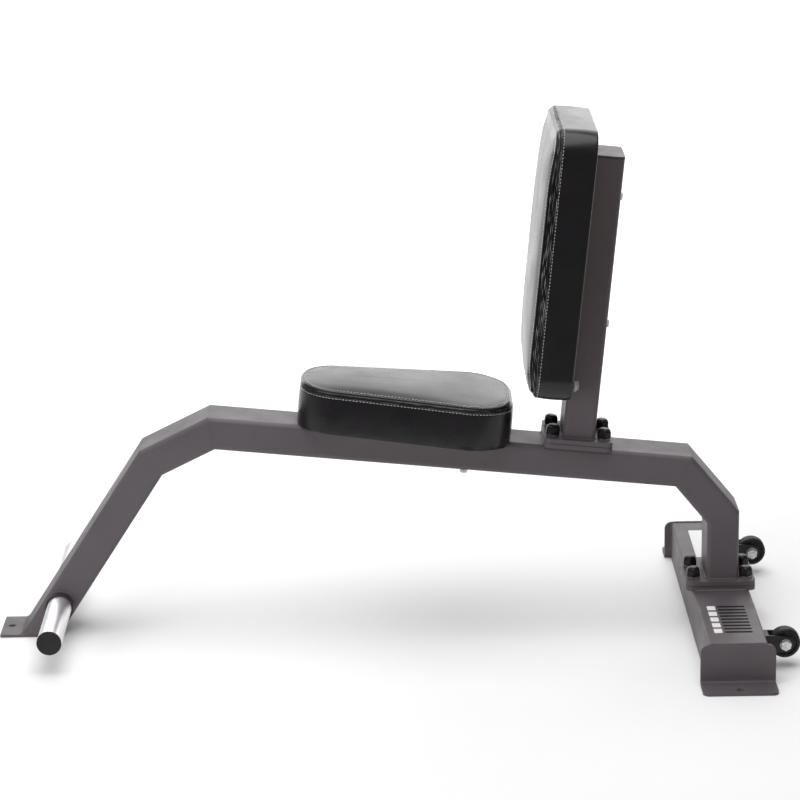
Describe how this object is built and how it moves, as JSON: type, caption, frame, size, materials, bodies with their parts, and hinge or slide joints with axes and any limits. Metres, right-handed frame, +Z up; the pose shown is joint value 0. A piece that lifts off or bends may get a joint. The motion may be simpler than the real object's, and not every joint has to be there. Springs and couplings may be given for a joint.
{
  "type": "fixed upright utility bench",
  "caption": "Arched tube bench with a short tapered seat, an upright backrest, foot pegs at the front and a wide rear base with transport wheels.",
  "frame": {"origin": "on the floor, at the middle of the bench's length and width", "axes": "+Z up; the sitter faces -Y, so the foot pegs are at -Y and the backrest and wheels at +Y; +X is the sitter's left"},
  "size_m": [0.804, 1.468, 0.9644],
  "materials": {
    "frame_paint": "satin warm dark grey powder coat",
    "black_paint": "satin black",
    "vinyl": "semi-gloss black leatherette",
    "plywood": "raw",
    "chrome": "polished",
    "zinc": "zinc plated",
    "black_plastic": "moulded black",
    "wheel_rubber": "matte black"
  },
  "bodies": {
    "frame": {"front_foot_plate": "frame_paint", "front_leg_tube": "frame_paint", "front_shoulder_tube": "frame_paint", "beam_tube": "frame_paint", "rear_shoulder_tube": "frame_paint", "rear_leg_tube": "frame_paint", "rear_leg_flange": "frame_paint", "base_mount_plate": "frame_paint", "base_channel": "frame_paint", "left_end_plate": "frame_paint", "right_end_plate": "frame_paint", "post_mount_plate": "frame_paint", "post_flange": "frame_paint", "backrest_post": "frame_paint", "post_top_cap": "frame_paint", "peg_sleeve": "black_paint", "foot_peg_tube": "chrome", "left_peg_cap": "black_plastic", "right_peg_cap": "black_plastic", "post_studs": "zinc", "post_stud_washers": "zinc", "post_stud_nuts": "zinc", "post_nut_caps": "black_plastic", "base_studs": "zinc", "base_stud_washers": "zinc", "base_stud_nuts": "zinc", "base_nut_caps": "black_plastic", "seat_board": "plywood", "seat_cushion": "vinyl", "seat_bolts": "zinc", "seat_bolt_washers": "zinc", "seat_tee_nuts": "zinc", "backrest_board": "plywood", "backrest_cushion": "vinyl", "backrest_bolts": "zinc", "backrest_bolt_washers": "zinc", "backrest_tee_nuts": "zinc", "left_wheel_bracket": "black_paint", "right_wheel_bracket": "black_paint", "bracket_screws": "zinc", "bracket_screw_nuts": "zinc", "left_axle_bolt": "zinc", "right_axle_bolt": "zinc", "axle_washers": "zinc", "axle_nuts": "zinc"},
    "left_wheel_set": {"left_wheel": "wheel_rubber", "left_wheel_bush": "zinc"},
    "right_wheel_set": {"right_wheel": "wheel_rubber", "right_wheel_bush": "zinc"}
  },
  "joints": [
    {"name": "left_wheel_spin", "type": "hinge", "parent": "frame", "child": "left_wheel_set", "pos_m": [0.254, 0.7065, 0.045], "axis": [1, 0, 0], "continuous": true},
    {"name": "right_wheel_spin", "type": "hinge", "parent": "frame", "child": "right_wheel_set", "pos_m": [-0.254, 0.7065, 0.045], "axis": [1, 0, 0], "continuous": true}
  ]
}
